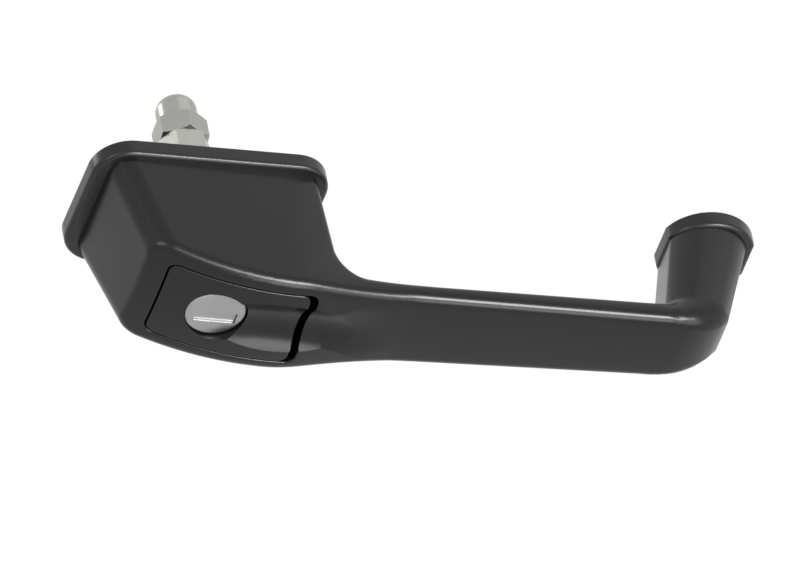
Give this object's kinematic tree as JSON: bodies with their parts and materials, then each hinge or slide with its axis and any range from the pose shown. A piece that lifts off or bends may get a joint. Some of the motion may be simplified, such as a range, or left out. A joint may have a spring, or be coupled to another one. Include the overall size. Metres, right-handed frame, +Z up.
{
  "type": "locking push handle",
  "caption": "Pull handle for a door or hatch with a flush push button, a keyed lock in the button, a thumb scoop and a spring-loaded plunger at its back.",
  "frame": {"origin": "middle of the base gasket's back face, on the shared axis of lock, button and plunger", "axes": "+X along the handle from the lock to its foot, +Y through the door (the plunger's way), +Z up across the handle"},
  "size_m": [0.1858, 0.0777, 0.0434],
  "materials": {
    "black_cast": "smooth black satin powder coat",
    "black_rubber": "smooth satin",
    "zinc_plate": "bright zinc",
    "bush_plastic": "matt moulded",
    "screw_steel": "bright zinc",
    "spring_steel": "drawn wire",
    "lock_zinc": "smooth die cast zinc",
    "lock_face": "satin nickel",
    "wafer_brass": "stamped",
    "nut_steel": "bright zinc"
  },
  "bodies": {
    "handle": {"handle_body": "black_cast", "base_gasket": "black_rubber", "foot_gasket": "black_rubber", "guide_plate": "zinc_plate", "guide_bush": "bush_plastic", "plate_screws": "screw_steel", "button_spring": "spring_steel", "plunger_spring": "spring_steel"},
    "button": {"push_button": "black_cast", "stop_collar": "zinc_plate", "lock_barrel": "lock_zinc", "barrel_ring": "spring_steel"},
    "plug": {"lock_plug": "lock_face", "plug_clip": "spring_steel", "drive_dog": "lock_zinc", "dog_screw": "screw_steel", "wafer_1": "wafer_brass", "wafer_2": "wafer_brass", "wafer_3": "wafer_brass", "wafer_4": "wafer_brass", "wafer_5": "wafer_brass"},
    "shutter": {"key_shutter": "lock_face"},
    "plunger": {"plunger": "lock_zinc", "plunger_circlip": "spring_steel", "plunger_stud": "screw_steel", "jam_nut": "nut_steel", "cap_nut": "nut_steel"}
  },
  "joints": [
    {"name": "button_press", "type": "slide", "parent": "handle", "child": "button", "axis": [0, 1, 0], "range_m": [0, 0.0065], "stiffness_N_per_m": 900, "springref_m": -0.003, "deforming": ["button_spring"]},
    {"name": "plug_turn", "type": "hinge", "parent": "button", "child": "plug", "pos_m": [0, -0.03, 0], "axis": [0, 1, 0], "range_deg": [0, 90]},
    {"name": "shutter_swing", "type": "hinge", "parent": "plug", "child": "shutter", "pos_m": [0.0002, -0.03815, -0.0001], "axis": [1, 0, 0], "range_deg": [0, 80], "stiffness_Nm_per_rad": 0.0002, "springref_deg": -11.46},
    {"name": "plunger_slide", "type": "slide", "parent": "handle", "child": "plunger", "axis": [0, 1, 0], "range_m": [0, 0.0065], "deforming": ["plunger_spring"]}
  ],
  "couplings": [
    {"joint": "plunger_slide", "follows": "button_press", "ratio": 1}
  ]
}
